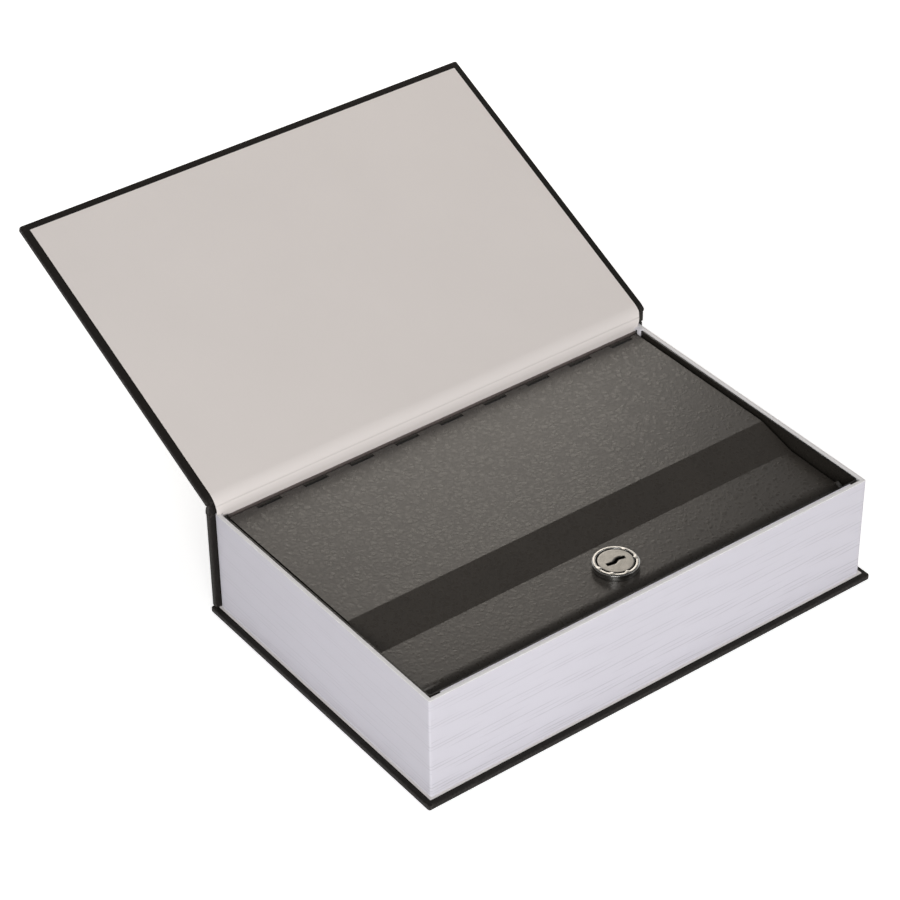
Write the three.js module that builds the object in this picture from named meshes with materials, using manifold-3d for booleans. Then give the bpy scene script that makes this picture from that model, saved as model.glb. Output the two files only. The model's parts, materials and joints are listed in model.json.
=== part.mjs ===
// A book diversion safe: a steel cash box with a keyed lid, hidden in the page block of a hard-bound book.
// Millimetres. X runs along the spine, -Y is the fore edge and +Z is up.
// The origin is the middle of the back cover's underside, where the book lies on a table.
// It is drawn with its front cover thrown back and its lid shut, with the lock's cam turned aside.

import * as THREE from "three";
import { mergeVertices } from "three/addons/utils/BufferGeometryUtils.js";
import Module from "manifold-3d";

const wasm = await Module();
wasm.setup();

// Cover boards
const coverLength = 240;
const boardThickness = 2.8;
const boardSquare = 3.65; // how far a board stands past the page block
const boardEdgeRadius = 0.5;
const spineThickness = 3.1;
const spineEndInset = 1; // the spine board stops this short of the covers' ends
const clothThickness = 0.4;
const clothSeat = 0.05; // air between glued layers that are drawn apart

// Page block, folded from cardboard
const blockDepth = 151.4;
const blockHeight = 51;
const blockWall = 1.85;
const endpaperThickness = 0.4;
const endpaperMargin = 1; // the back endpaper stands this far past the block
const flapThickness = 0.8;
const flapHeight = 16;
const flapEndGap = 5.5; // the flap stops this short of the end walls

// Front cover and its joint
const coverOpenAngle = 155.2; // from shut, as it is drawn
const coverAxisBehindBlock = 1.55;
const coverAxisAboveBlock = 4;
const coverFaceDrop = 3.5; // joint axis to the cover's inner face
const coverHeel = 0.82; // the board's rear edge stands this far past the axis
const coverShortfall = 0.35; // front board against back board
const linerMargin = 3.6; // dark turned-in cloth left bare round the front endpaper
const linerThickness = 0.2;
const jointBendRadius = 9; // the paper's bend from the page block into the cover
const jointBendLap = 1; // the gutter strip goes this far onto the flat of the cover
const gutterEndGap = 1.1; // the gutter strip's ends to the page block's end walls
const gutterGlueDepth = 6; // how far the gutter strip goes down behind the hinge

// Steel box
const sheetThickness = 0.7;
const boxClearance = 0.3; // to the page block
const boxBackClearance = 1.3; // room behind the hinge for the open lid
const boxCornerRadius = 1.5;
const boxRimDrop = 0.5; // below the top of the page block
const tapeThickness = 0.8;
const tapeWidth = 40;
const tapeEndGap = 24.2; // the box's end wall to a tape's long edge
const tapeSideGap = 12.7; // the box's long walls to a tape's ends

// Lid, one pressed sheet with a step in it
const lidDrop = 2; // the rear deck's top below the page block's top
const lidStep = 5; // the front deck lies this much lower
const lidSideGap = 2.1; // the lid's long edge to the box wall
const flangeFrontGap = 6.1; // the lid's front flange to the box's front wall
const frontDeckDepth = 32.3; // from the flange to the foot of the slope
const slopeDepth = 19.2;
const slopeBendRadius = 2.5;
const flangeHeight = 6;
const flangeBendRadius = 5;
const earLength = 1.7; // the front bend is wider than the deck by this much at each end

// Knuckle hinge
const pinDiameter = 1.3;
const pinFit = 0.1; // between the pin and the rolled knuckles
const knucklePitch = 24.25; // of the box's knuckles; the lid's fill the rest
const notchLength = 12.1;
const firstLand = 13; // the lid's left end to the first notch
const lastLand = 3; // the least that is left after the last notch
const knuckleGap = 0.3;
const curlEnd = 250; // how far each knuckle is rolled, in degrees

// Ledge inside the front wall: its upper leg carries the lid and its lower leg holds the cam
const ledgeGap = 0.3;
const ledgeDepth = 11.3;
const ledgeBendRadius = 1.2;
const ledgeEndGap = 0.3; // to the round of the box's corners

// Cam lock
const lockSetback = 17; // the lid's front flange to the lock's middle
const headDiameter = 20.2;
const headHeight = 3.3;
const headBevel = 0.9;
const faceDiameter = 15.8;
const faceGap = 0.35;
const faceSink = 0.15;
const recessDepth = 2.1;
const barrelDiameter = 16;
const barrelFlats = 14;
const barrelLength = 12.5;
const barrelHoleGap = 0.2;
const plugDiameter = 12;
const plugGap = 0.15;
const keywayLength = 10;
const keywayWidth = 1.5;
const keywayOffset = 0.85; // each half of the zig-zag keyway stands this far off the middle
const keywayAngle = -8;
const keywayDepth = 14;
const waferCount = 4;
const waferThickness = 0.7;
const waferWidth = 4.6;
const waferPitch = 2.4;
const waferStart = 1.8; // first wafer below the lid's deck
const waferGap = 0.15;
const waferTravel = 0.6;
const waferWindowLength = 7.2;
const waferWindowWidth = 2.4;
const waferCodeStep = 0.25; // the windows stand apart by the depths cut in the key
const nutFlats = 20;
const nutHeight = 3.5;
const nutGap = 0.1;
const lockWasherThickness = 1;
const lockWasherDiameter = 21;
const camGap = 0.4; // to the barrel above it
const camThickness = 1.6;
const camReach = 17;
const camWidth = 9;
const camHub = 13;
const camUnderLedge = 0.5;
const squareSize = 6;
const squareGap = 0.1;
const camWasherDiameter = 10;
const camWasherThickness = 0.8;
const screwDiameter = 3;
const screwGap = 0.1;
const screwHeadDiameter = 7;
const screwHeadHeight = 2.4;
const screwDepth = 5;
const roundSteps = 48;

// Places that follow from the sizes above
const blockLength = coverLength - 2 * boardSquare;
const coverDepth = boardSquare + blockDepth + spineThickness;
const boardFrontY = -coverDepth / 2;
const blockFrontY = boardFrontY + boardSquare;
const blockBackY = blockFrontY + blockDepth;
const blockTopZ = boardThickness + blockHeight;
const blockBottomZ = boardThickness + endpaperThickness;
const blockInnerX = blockLength / 2 - blockWall;
const blockInnerFrontY = blockFrontY + blockWall;
const blockInnerBackY = blockBackY - blockWall;

const boxOuterX = blockInnerX - boxClearance;
const boxInnerX = boxOuterX - sheetThickness;
const boxFrontY = blockInnerFrontY + flapThickness + boxClearance;
const boxInnerFrontY = boxFrontY + sheetThickness;
const boxBackY = blockInnerBackY - boxBackClearance;
const boxInnerBackY = boxBackY - sheetThickness;
const boxBottomZ = blockBottomZ + tapeThickness;
const boxRimZ = blockTopZ - boxRimDrop;

const knuckleInner = pinDiameter / 2 + pinFit;
const knuckleMiddle = knuckleInner + sheetThickness / 2;
const knuckleOuter = knuckleInner + sheetThickness;
const lidTopZ = blockTopZ - lidDrop;
const pinY = boxBackY - knuckleOuter;
const pinZ = lidTopZ - knuckleOuter;
const lidHalfX = boxInnerX - lidSideGap;
const lidRearY = pinY - knuckleOuter - knuckleGap;
const deckZ = lidTopZ - lidStep;
const flangeBottomZ = deckZ - flangeHeight;
const firstNotchX = -lidHalfX + firstLand + notchLength / 2;
const notchRoom = lidHalfX - lastLand - notchLength / 2 - firstNotchX;
const knuckleCount = 1 + Math.floor(notchRoom / knucklePitch);

const flangeFaceY = boxInnerFrontY + flangeFrontGap;
const slopeFrontY = flangeFaceY + frontDeckDepth;
const slopeRearY = slopeFrontY + slopeDepth;
const lockY = flangeFaceY + lockSetback;
const ledgeTipY = boxInnerFrontY + ledgeDepth;

const headTopZ = deckZ + headHeight;
const barrelBottomZ = deckZ - barrelLength;
const camTopZ = barrelBottomZ - camGap;
const camBottomZ = camTopZ - camThickness;
const ledgeTopZ = flangeBottomZ - ledgeGap;
const ledgeBottomZ = camTopZ + camUnderLedge;
const boreRadius = plugDiameter / 2 + plugGap;
const grooveRadius = plugDiameter / 2 + waferTravel + 2 * waferGap;

// Finishes
const bookCloth = new THREE.MeshStandardMaterial({ color: 0x231f1d, roughness: 0.75, metalness: 0 });
const pagePaper = new THREE.MeshStandardMaterial({ color: 0xe2dfe6, roughness: 0.85, metalness: 0 });
const linerPaper = new THREE.MeshStandardMaterial({ color: 0xcdc5c0, roughness: 0.8, metalness: 0 });
const powderCoat = new THREE.MeshStandardMaterial({ color: 0x5a554f, roughness: 0.55, metalness: 0.1 });
const chromePlate = new THREE.MeshStandardMaterial({ color: 0xc9c5bd, roughness: 0.22, metalness: 1 });
const plainSteel = new THREE.MeshStandardMaterial({ color: 0x9a9a98, roughness: 0.4, metalness: 1 });
const brassPlate = new THREE.MeshStandardMaterial({ color: 0xb89a55, roughness: 0.35, metalness: 1 });
const foamTape = new THREE.MeshStandardMaterial({ color: 0xd8d6cf, roughness: 0.95, metalness: 0 });

const radians = THREE.MathUtils.degToRad;

function mesh(name, geometry, material) {
  const made = new THREE.Mesh(geometry, material);
  made.name = name;
  return made;
}

// A closed geometry as a solid that can be joined and cut.
function solid(geometry) {
  const bare = geometry.clone();
  bare.deleteAttribute("normal");
  bare.deleteAttribute("uv");
  const merged = mergeVertices(bare, 1e-4);
  return new wasm.Manifold(
    new wasm.Mesh({
      numProp: 3,
      vertProperties: new Float32Array(merged.attributes.position.array),
      triVerts: new Uint32Array(merged.index.array),
    }),
  );
}

// A joined and cut solid as a geometry again.
function surface(made) {
  const cut = made.getMesh();
  const geometry = new THREE.BufferGeometry();
  geometry.setAttribute("position", new THREE.BufferAttribute(new Float32Array(cut.vertProperties), 3));
  geometry.setIndex(new THREE.BufferAttribute(new Uint32Array(cut.triVerts), 1));
  geometry.computeVertexNormals();
  return geometry;
}

// A block between two corners.
function block(low, high) {
  const size = high.map((value, i) => value - low[i]);
  const middle = high.map((value, i) => (value + low[i]) / 2);
  return new THREE.BoxGeometry(...size).translate(...middle);
}

// A flat board from z = 0 up, with its edges eased, centred on X and Y.
function easedBoard(length, depth, thickness, radius) {
  const halfLength = length / 2 - radius;
  const halfDepth = depth / 2 - radius;
  const outline = new THREE.Shape();
  outline.moveTo(-halfLength, -halfDepth);
  outline.lineTo(halfLength, -halfDepth);
  outline.lineTo(halfLength, halfDepth);
  outline.lineTo(-halfLength, halfDepth);
  outline.closePath();
  const board = new THREE.ExtrudeGeometry(outline, {
    depth: thickness - 2 * radius,
    bevelThickness: radius,
    bevelSize: radius,
    bevelSegments: 2,
  });
  return board.translate(0, 0, radius);
}

// A rectangle with round corners, in the XY plane.
function roundedRectangle(x0, y0, x1, y1, radius) {
  const outline = new THREE.Shape();
  outline.absarc(x1 - radius, y0 + radius, radius, -Math.PI / 2, 0);
  outline.absarc(x1 - radius, y1 - radius, radius, 0, Math.PI / 2);
  outline.absarc(x0 + radius, y1 - radius, radius, Math.PI / 2, Math.PI);
  outline.absarc(x0 + radius, y0 + radius, radius, Math.PI, 1.5 * Math.PI);
  outline.closePath();
  return outline;
}

function upright(shape, z0, z1, curveSegments = 4) {
  const made = new THREE.ExtrudeGeometry(shape, { depth: z1 - z0, bevelEnabled: false, curveSegments });
  return made.translate(0, 0, z0);
}

// A section drawn in the YZ plane and drawn out along X.
function alongX(shape, x0, x1) {
  const made = new THREE.ExtrudeGeometry(shape, { depth: x1 - x0, bevelEnabled: false });
  const turn = new THREE.Matrix4().makeBasis(
    new THREE.Vector3(0, 1, 0),
    new THREE.Vector3(0, 0, 1),
    new THREE.Vector3(1, 0, 0),
  );
  return made.applyMatrix4(turn).translate(x0, 0, 0);
}

// A path through corners, each but the ends rounded to a bend radius.
function bentPath(corners, radii) {
  const points = corners.map(([u, v]) => new THREE.Vector2(u, v));
  const path = new THREE.Path();
  path.moveTo(points[0].x, points[0].y);
  for (let i = 1; i < points.length - 1; i += 1) {
    const radius = radii[i - 1];
    const before = points[i].clone().sub(points[i - 1]).normalize();
    const after = points[i + 1].clone().sub(points[i]).normalize();
    const turn = Math.atan2(before.cross(after), before.dot(after));
    const setback = radius * Math.tan(Math.abs(turn) / 2);
    const side = Math.sign(turn);
    const start = points[i].clone().addScaledVector(before, -setback);
    const centre = start.clone().add(new THREE.Vector2(-before.y, before.x).multiplyScalar(side * radius));
    const from = Math.atan2(start.y - centre.y, start.x - centre.x);
    path.lineTo(start.x, start.y);
    path.absarc(centre.x, centre.y, radius, from, from + turn, side < 0);
  }
  const last = points[points.length - 1];
  path.lineTo(last.x, last.y);
  return path;
}

// The outline of a sheet of even thickness, whose middle line is the path.
function sheetOutline(path, thickness, divisions = 3) {
  const middle = path.getPoints(divisions).filter((p, i, all) => i === 0 || p.distanceTo(all[i - 1]) > 1e-6);
  const offsets = middle.map((point, i) => {
    const back = middle[Math.max(i - 1, 0)];
    const ahead = middle[Math.min(i + 1, middle.length - 1)];
    const before = (i === 0 ? ahead.clone().sub(point) : point.clone().sub(back)).normalize();
    const after = (i === middle.length - 1 ? before.clone() : ahead.clone().sub(point)).normalize();
    const along = before.clone().add(after).normalize();
    const reach = thickness / 2 / Math.max(along.dot(after), 0.5);
    return new THREE.Vector2(-along.y, along.x).multiplyScalar(reach);
  });
  const left = middle.map((point, i) => point.clone().add(offsets[i]));
  const right = middle.map((point, i) => point.clone().sub(offsets[i]));
  return new THREE.Shape([...right, ...left.reverse()]);
}

// A solid of revolution about Z; the profile holds [radius, z] pairs, up the outside.
function turned(profile, steps = roundSteps) {
  const points = profile.map(([r, z]) => new THREE.Vector2(r, z));
  return new THREE.LatheGeometry(points, steps).rotateX(Math.PI / 2);
}

// A round bar from z0 up to z1.
function bar(radius, z0, z1, steps = roundSteps) {
  return turned([[0, z0], [radius, z0], [radius, z1], [0, z1]], steps);
}

// A flat ring from z0 up to z1.
function ring(inner, outer, z0, z1, steps = roundSteps) {
  return turned([[inner, z0], [outer, z0], [outer, z1], [inner, z1], [inner, z0]], steps);
}

function backCover() {
  const board = easedBoard(coverLength, coverDepth, boardThickness, boardEdgeRadius);
  return mesh("back_cover_board", board, bookCloth);
}

function spineBoard() {
  const halfLength = coverLength / 2 - spineEndInset;
  const board = easedBoard(2 * halfLength, blockHeight, spineThickness, boardEdgeRadius);
  const made = mesh("spine_board", board.rotateX(Math.PI / 2), bookCloth);
  made.position.set(0, blockBackY + spineThickness, boardThickness + blockHeight / 2);
  return made;
}

function backEndpaper() {
  const halfLength = blockLength / 2 + endpaperMargin;
  const low = [-halfLength, blockFrontY - endpaperMargin, boardThickness];
  return mesh("back_endpaper", block(low, [halfLength, blockBackY, blockBottomZ]), linerPaper);
}

// Four cardboard walls: the long ones run through, the end ones stand between them.
function pageBlock() {
  const halfLength = blockLength / 2;
  const walls = {
    fore_edge_wall: [[-halfLength, blockFrontY], [halfLength, blockInnerFrontY]],
    spine_side_wall: [[-halfLength, blockInnerBackY], [halfLength, blockBackY]],
    head_wall: [[blockInnerX, blockInnerFrontY], [halfLength, blockInnerBackY]],
    tail_wall: [[-halfLength, blockInnerFrontY], [-blockInnerX, blockInnerBackY]],
  };
  return Object.entries(walls).map(([name, [low, high]]) =>
    mesh(name, block([...low, blockBottomZ], [...high, blockTopZ]), pagePaper),
  );
}

// The fore-edge wall's cardboard is folded in at the top, and stops short of both corners.
function foreEdgeFlap() {
  const halfLength = blockInnerX - flapEndGap;
  const low = [-halfLength, blockInnerFrontY, blockTopZ - flapHeight];
  const high = [halfLength, blockInnerFrontY + flapThickness, blockTopZ];
  return mesh("fore_edge_flap", block(low, high), pagePaper);
}

const coverAxisY = blockBackY + coverAxisBehindBlock;
const coverAxisZ = blockTopZ + coverAxisAboveBlock;

// A point of the shut front cover, measured from the joint's axis, where it lies when thrown back.
function openedPoint(y, z) {
  const turn = radians(-coverOpenAngle);
  return [
    coverAxisY + y * Math.cos(turn) - z * Math.sin(turn),
    coverAxisZ + y * Math.sin(turn) + z * Math.cos(turn),
  ];
}

// The gutter strip's middle line meets the cover's at a corner, which the bend radius rounds off.
const paperDrop = coverFaceDrop + clothSeat + linerThickness / 2;
const gutterY = blockInnerBackY - clothSeat - linerThickness / 2;
const bendSetback = jointBendRadius * Math.tan(radians(coverOpenAngle - 90) / 2);
const heelPoint = openedPoint(coverHeel, -paperDrop);
const heelToCorner = (heelPoint[0] - gutterY) / -Math.cos(radians(coverOpenAngle));
const bendStart = coverHeel + heelToCorner - bendSetback;

// The board's inner face is eased along its rear edge, behind the paper's bend.
function easedHeel() {
  const radius = jointBendRadius - linerThickness / 2 - clothSeat;
  const reach = coverHeel - bendStart + boardEdgeRadius;
  const cut = new THREE.Shape();
  cut.moveTo(bendStart, -coverFaceDrop - boardEdgeRadius);
  cut.lineTo(bendStart, -coverFaceDrop);
  cut.absarc(bendStart, radius - coverFaceDrop, radius, -Math.PI / 2, Math.asin(reach / radius) - Math.PI / 2);
  cut.lineTo(bendStart + reach, -coverFaceDrop - boardEdgeRadius);
  return alongX(cut, -coverLength, coverLength);
}

// The front board and its endpaper, drawn shut about the joint's axis and then thrown back.
function frontCover() {
  const hinge = new THREE.Group();
  hinge.position.set(0, coverAxisY, coverAxisZ);
  hinge.rotation.x = radians(-coverOpenAngle);
  const depth = coverDepth - coverShortfall;
  const whole = easedBoard(coverLength, depth, boardThickness, boardEdgeRadius);
  const placed = whole.translate(0, coverHeel - depth / 2, -coverFaceDrop);
  const board = mesh("front_cover_board", surface(solid(placed).subtract(solid(easedHeel()))), bookCloth);
  const halfLength = coverLength / 2 - linerMargin;
  const paperTop = -coverFaceDrop - clothSeat;
  const endpaper = mesh(
    "front_endpaper",
    block(
      [-halfLength, coverHeel - depth + linerMargin, paperTop - linerThickness],
      [halfLength, bendStart - jointBendLap - clothSeat, paperTop],
    ),
    linerPaper,
  );
  hinge.add(board, endpaper);
  return hinge;
}

// Cloth from the top of the spine board to the rear edge of the thrown-back cover's outer face.
function jointCloth() {
  const [endY, endZ] = openedPoint(coverHeel, boardThickness - coverFaceDrop);
  const startY = blockBackY + spineThickness - clothThickness / 2;
  const slack = (endZ - blockTopZ) / 2;
  const cloth = new THREE.Path();
  cloth.moveTo(startY, blockTopZ);
  cloth.bezierCurveTo(startY, blockTopZ + slack, endY + slack, endZ - slack / 2, endY, endZ - clothThickness);
  const halfLength = coverLength / 2 - spineEndInset;
  return mesh("joint_cloth", alongX(sheetOutline(cloth, clothThickness, 8), -halfLength, halfLength), bookCloth);
}

// Endpaper that bends from the cover's inner face down into the gutter behind the lid's hinge.
function gutterStrip() {
  const strip = bentPath(
    [
      [gutterY, blockTopZ - gutterGlueDepth],
      openedPoint(coverHeel + heelToCorner, -paperDrop),
      openedPoint(bendStart - jointBendLap, -paperDrop),
    ],
    [jointBendRadius],
  );
  const halfLength = blockInnerX - gutterEndGap;
  return mesh("gutter_strip", alongX(sheetOutline(strip, linerThickness, 9), -halfLength, halfLength), linerPaper);
}

// Where each notch in the lid's rear edge begins and ends; a knuckle of the box fills each.
const notches = Array.from({ length: knuckleCount }, (_, i) => {
  const middle = firstNotchX + i * knucklePitch;
  return [middle - notchLength / 2, middle + notchLength / 2];
});

// A sheet rolled round the pin, which leaves it in a straight run.
function knuckleOutline(start, fromAngle, toAngle) {
  const curl = new THREE.Path();
  curl.moveTo(...start);
  const turn = radians(fromAngle);
  curl.lineTo(pinY + knuckleMiddle * Math.cos(turn), pinZ + knuckleMiddle * Math.sin(turn));
  const clockwise = toAngle < fromAngle;
  curl.absarc(pinY, pinZ, knuckleMiddle, turn, radians(toAngle), clockwise);
  return sheetOutline(curl, sheetThickness, 8);
}

// A folded tray: its back wall ends below the lid's knuckles and rises between them into its own.
function boxBody() {
  const outside = roundedRectangle(-boxOuterX, boxFrontY, boxOuterX, boxBackY, boxCornerRadius);
  const innerRadius = boxCornerRadius - sheetThickness;
  const inside = roundedRectangle(-boxInnerX, boxInnerFrontY, boxInnerX, boxInnerBackY, innerRadius);
  const wallTopZ = pinZ - knuckleOuter - knuckleGap;
  let tray = solid(upright(outside, boxBottomZ, boxRimZ));
  tray = tray.subtract(solid(upright(inside, boxBottomZ + sheetThickness, blockTopZ)));
  const cutHalfX = boxInnerX - boxCornerRadius;
  tray = tray.subtract(solid(block([-cutHalfX, pinY, wallTopZ], [cutHalfX, blockBackY, blockTopZ])));
  const root = [pinY + knuckleMiddle, wallTopZ - knuckleOuter];
  const outline = knuckleOutline(root, 0, curlEnd);
  for (const [x0, x1] of notches) {
    tray = tray.add(solid(alongX(outline, x0 + knuckleGap, x1 - knuckleGap)));
  }
  return mesh("box_body", surface(tray), powderCoat);
}

function hingePin() {
  const halfLength = lidHalfX;
  const pin = bar(pinDiameter / 2, -halfLength, halfLength, 16).rotateY(Math.PI / 2);
  const made = mesh("hinge_pin", pin, plainSteel);
  made.position.set(0, pinY, pinZ);
  return made;
}

// A channel of bent sheet across the inside of the front wall.
function frontLedge() {
  const half = sheetThickness / 2;
  const path = bentPath(
    [
      [ledgeTipY, ledgeTopZ - half],
      [boxInnerFrontY + half, ledgeTopZ - half],
      [boxInnerFrontY + half, ledgeBottomZ + half],
      [ledgeTipY, ledgeBottomZ + half],
    ],
    [ledgeBendRadius, ledgeBendRadius],
  );
  const halfLength = boxInnerX - (boxCornerRadius - sheetThickness) - ledgeEndGap;
  return mesh("front_ledge", alongX(sheetOutline(path, sheetThickness), -halfLength, halfLength), powderCoat);
}

// One tape near each end of the box; side is -1 for the left one and 1 for the right one.
function tapeStrip(name, side) {
  const x = side * (boxOuterX - tapeEndGap - tapeWidth / 2);
  const low = [x - tapeWidth / 2, boxFrontY + tapeSideGap, blockBottomZ];
  const high = [x + tapeWidth / 2, boxBackY - tapeSideGap, boxBottomZ];
  return mesh(name, block(low, high), foamTape);
}

// A round bar with two flats: the lock's barrel, and with a gap the hole that it goes through.
function flattedBar(gap, z0, z1) {
  const halfFlats = barrelFlats / 2 + gap;
  const radius = barrelDiameter / 2 + gap;
  const flats = solid(block([-radius, -halfFlats, z0], [radius, halfFlats, z1]));
  return solid(bar(radius, z0, z1)).intersect(flats).translate([0, lockY, 0]);
}

// The lid: rear deck, slope, front deck and front flange in one sheet, with knuckles along the back.
function lidPanel() {
  const half = sheetThickness / 2;
  const rear = [lidRearY, lidTopZ - half];
  const bend = [flangeFaceY + half, deckZ - half];
  const foot = [flangeFaceY + half, flangeBottomZ];
  const frontRadius = flangeBendRadius - half;
  const deck = bentPath(
    [rear, [slopeRearY, lidTopZ - half], [slopeFrontY, deckZ - half], bend, foot],
    [slopeBendRadius, slopeBendRadius, frontRadius],
  );
  let lid = solid(alongX(sheetOutline(deck, sheetThickness, 4), -lidHalfX, lidHalfX));
  const nose = bentPath([[bend[0] + flangeBendRadius, bend[1]], bend, foot], [frontRadius]);
  const noseHalfX = lidHalfX + earLength;
  lid = lid.add(solid(alongX(sheetOutline(nose, sheetThickness, 4), -noseHalfX, noseHalfX)));
  const outline = knuckleOutline([lidRearY - knuckleOuter, pinZ + knuckleMiddle], 90, 90 - curlEnd);
  const lands = [-lidHalfX, ...notches.flat(), lidHalfX];
  for (let i = 0; i < lands.length; i += 2) {
    lid = lid.add(solid(alongX(outline, lands[i], lands[i + 1])));
  }
  lid = lid.subtract(flattedBar(barrelHoleGap, deckZ - 2 * sheetThickness, deckZ + sheetThickness));
  return mesh("lid_panel", surface(lid), powderCoat);
}

// The zig-zag slot for the key: two straight runs with a slanted one between.
function keywayOutline() {
  const end = keywayLength / 2 - keywayWidth / 4;
  const mid = keywayLength / 8;
  const path = bentPath(
    [[-end, -keywayOffset / 2], [-mid, -keywayOffset], [mid, keywayOffset], [end, keywayOffset / 2]],
    [keywayWidth, keywayWidth],
  );
  return sheetOutline(path, keywayWidth, 2);
}

function lockHousing() {
  const head = headDiameter / 2;
  const recess = faceDiameter / 2 + faceGap;
  const cap = turned([
    [boreRadius, deckZ],
    [head, deckZ],
    [head, headTopZ - headBevel],
    [head - headBevel, headTopZ],
    [recess, headTopZ],
    [recess, headTopZ - recessDepth],
    [boreRadius, headTopZ - recessDepth],
    [boreRadius, deckZ],
  ]);
  let housing = solid(cap.translate(0, lockY, 0)).add(flattedBar(0, barrelBottomZ, deckZ + headBevel));
  const bore = bar(boreRadius, barrelBottomZ - 1, headTopZ - recessDepth + 1);
  housing = housing.subtract(solid(bore.translate(0, lockY, 0)));
  const grooveHalf = waferWidth / 2 + 2 * waferGap;
  for (const quarter of [0, 90]) {
    const groove = block(
      [-grooveRadius, -grooveHalf, barrelBottomZ - 1],
      [grooveRadius, grooveHalf, deckZ - sheetThickness / 2],
    );
    groove.rotateZ(radians(keywayAngle + quarter)).translate(0, lockY, 0);
    housing = housing.subtract(solid(groove));
  }
  return mesh("lock_housing", surface(housing), chromePlate);
}

const waferLevels = Array.from({ length: waferCount }, (_, i) => deckZ - waferStart - i * waferPitch);

function lockPlug() {
  const faceTopZ = headTopZ - faceSink;
  const faceBottomZ = headTopZ - recessDepth + faceGap;
  const squareBottomZ = camBottomZ + squareGap;
  const half = squareSize / 2;
  let plug = solid(bar(faceDiameter / 2, faceBottomZ, faceTopZ));
  plug = plug.add(solid(bar(plugDiameter / 2, barrelBottomZ, faceBottomZ + faceGap)));
  plug = plug.add(solid(block([-half, -half, squareBottomZ], [half, half, barrelBottomZ + 1])));
  const keyway = upright(keywayOutline(), faceTopZ - keywayDepth, faceTopZ + 1, 2);
  plug = plug.subtract(solid(keyway.rotateZ(radians(keywayAngle))));
  const slotHalf = waferWidth / 2 + waferGap;
  for (const level of waferLevels) {
    const low = [-plugDiameter, -slotHalf, level - waferThickness / 2 - waferGap];
    const slot = block(low, [plugDiameter, slotHalf, level + waferThickness / 2 + waferGap]);
    plug = plug.subtract(solid(slot.rotateZ(radians(keywayAngle))));
  }
  const hole = bar(screwDiameter / 2 + screwGap, squareBottomZ - 1, squareBottomZ + screwDepth, 24);
  plug = plug.subtract(solid(hole));
  const made = mesh("lock_plug", surface(plug), chromePlate);
  made.position.set(0, lockY, 0);
  return made;
}

// A sprung plate in a slot of the plug, with the window that the key goes through.
function wafer(index) {
  const radius = plugDiameter / 2 - waferGap / 2;
  const halfWidth = waferWidth / 2;
  const halfAngle = Math.asin(halfWidth / radius);
  const outline = new THREE.Shape();
  outline.absarc(0, 0, radius, -halfAngle, halfAngle);
  outline.absarc(0, 0, radius, Math.PI - halfAngle, Math.PI + halfAngle);
  outline.closePath();
  const shift = (index % 2 ? 1 : -1) * Math.ceil((index + 1) / 2) * waferCodeStep;
  const x = waferWindowLength / 2;
  const y = waferWindowWidth / 2;
  const corners = [[shift - x, -y], [shift - x, y], [shift + x, y], [shift + x, -y]];
  outline.holes.push(new THREE.Path(corners.map(([u, v]) => new THREE.Vector2(u, v))));
  const plate = upright(outline, -waferThickness / 2, waferThickness / 2, 5);
  const made = mesh(`wafer_${index + 1}`, plate, brassPlate);
  made.position.set(0, lockY, waferLevels[index]);
  made.rotation.z = radians(keywayAngle);
  return made;
}

function lockWasher() {
  const topZ = deckZ - sheetThickness;
  const inner = barrelDiameter / 2 + nutGap;
  const made = ring(inner, lockWasherDiameter / 2, topZ - lockWasherThickness, topZ, 36);
  return mesh("lock_washer", made.translate(0, lockY, 0), plainSteel);
}

function lockNut() {
  const topZ = deckZ - sheetThickness - lockWasherThickness;
  const hexagon = new THREE.Shape(
    Array.from({ length: 6 }, (_, i) => {
      const angle = radians(60 * i);
      const reach = nutFlats / 2 / Math.cos(radians(30));
      return new THREE.Vector2(reach * Math.cos(angle), reach * Math.sin(angle));
    }),
  );
  hexagon.holes.push(new THREE.Path().absarc(0, 0, barrelDiameter / 2 + nutGap, 0, 2 * Math.PI, true));
  const made = upright(hexagon, topZ - nutHeight, topZ, 18);
  return mesh("lock_nut", made.translate(0, lockY, 0), plainSteel);
}

// A flat cam with a round hub and a round tip, on the square end of the plug.
function lockCam() {
  const tip = camWidth / 2;
  const shoulder = Math.asin(tip / (camHub / 2));
  const outline = new THREE.Shape();
  outline.absarc(0, 0, camHub / 2, shoulder, 2 * Math.PI - shoulder);
  outline.absarc(camReach - tip, 0, tip, -Math.PI / 2, Math.PI / 2);
  outline.closePath();
  const half = squareSize / 2 + squareGap;
  const corners = [[-half, -half], [-half, half], [half, half], [half, -half]];
  outline.holes.push(new THREE.Path(corners.map(([u, v]) => new THREE.Vector2(u, v))));
  const made = upright(outline, camBottomZ, camTopZ, 14);
  return mesh("lock_cam", made.translate(0, lockY, 0), plainSteel);
}

function camWasher() {
  const inner = screwDiameter / 2 + screwGap;
  const made = ring(inner, camWasherDiameter / 2, camBottomZ - camWasherThickness, camBottomZ, 32);
  return mesh("cam_washer", made.translate(0, lockY, 0), plainSteel);
}

function camScrew() {
  const seatZ = camBottomZ - camWasherThickness;
  const head = screwHeadDiameter / 2;
  const shank = screwDiameter / 2;
  const tipZ = camBottomZ + screwDepth - 2 * screwGap;
  const made = turned(
    [
      [0, seatZ - screwHeadHeight],
      [head * 0.7, seatZ - screwHeadHeight],
      [head, seatZ - screwHeadHeight * 0.6],
      [head, seatZ],
      [shank, seatZ],
      [shank, tipZ - shank / 2],
      [shank / 2, tipZ],
      [0, tipZ],
    ],
    32,
  );
  return mesh("cam_screw", made.translate(0, lockY, 0), plainSteel);
}

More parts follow.
